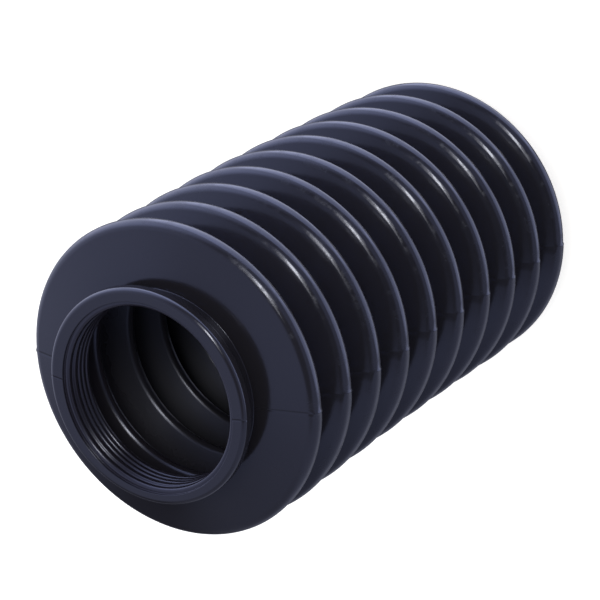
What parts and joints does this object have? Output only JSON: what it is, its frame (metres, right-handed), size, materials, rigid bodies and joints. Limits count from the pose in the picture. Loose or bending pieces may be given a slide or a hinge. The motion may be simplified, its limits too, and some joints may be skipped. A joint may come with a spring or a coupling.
{
  "type": "bellows boot",
  "caption": "Round rubber bellows boot with equal folds between two clamp collars, each with a rounded lip, a clamp groove and a ribbed bore.",
  "frame": {"origin": "centre of the ring that the lower collar stands on", "axes": "+Z along the boot's axis, out of the upper collar's mouth; X lies in the mould's parting plane"},
  "size_m": [0.07, 0.07, 0.1314],
  "materials": {
    "rubber": "glossy moulded rubber, blue-black"
  },
  "bodies": {
    "root": {"bellows_boot": "rubber"}
  },
  "joints": []
}
